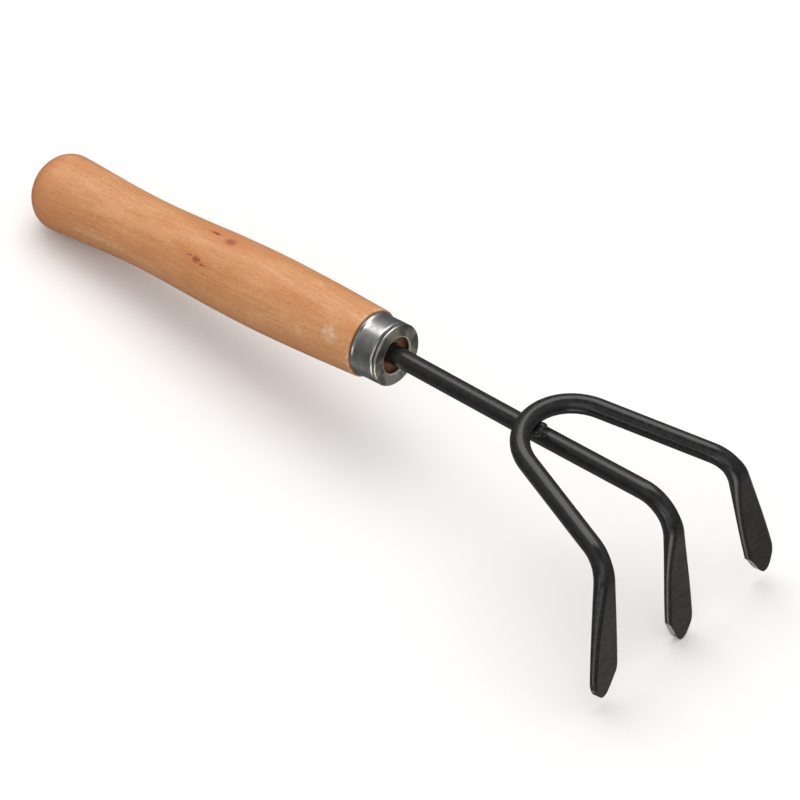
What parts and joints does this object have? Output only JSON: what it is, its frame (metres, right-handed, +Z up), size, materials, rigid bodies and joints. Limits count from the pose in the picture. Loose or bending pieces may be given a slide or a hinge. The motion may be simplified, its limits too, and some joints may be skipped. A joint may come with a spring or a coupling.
{
  "type": "hand cultivator",
  "caption": "Short garden hand cultivator: turned wooden handle, pressed steel ferrule and black bent-rod claw with flattened, pointed tines.",
  "frame": {"origin": "on the ground plane under the middle of the tool's length, in its middle plane, with the tool resting on its tines and the butt of its handle", "axes": "+X from the butt of the handle towards the tines, +Y across the fork, +Z up from the ground"},
  "size_m": [0.2808, 0.0882, 0.0553],
  "materials": {
    "lacquered_wood": "orange-brown beech-like hardwood, clear satin lacquer",
    "plated_steel": "bright plated sheet steel",
    "black_paint": "satin black paint"
  },
  "bodies": {
    "root": {"wooden_handle": "lacquered_wood", "ferrule": "plated_steel", "centre_tine_rod": "black_paint", "outer_tines_rod": "black_paint", "weld_bead": "black_paint"}
  },
  "joints": []
}
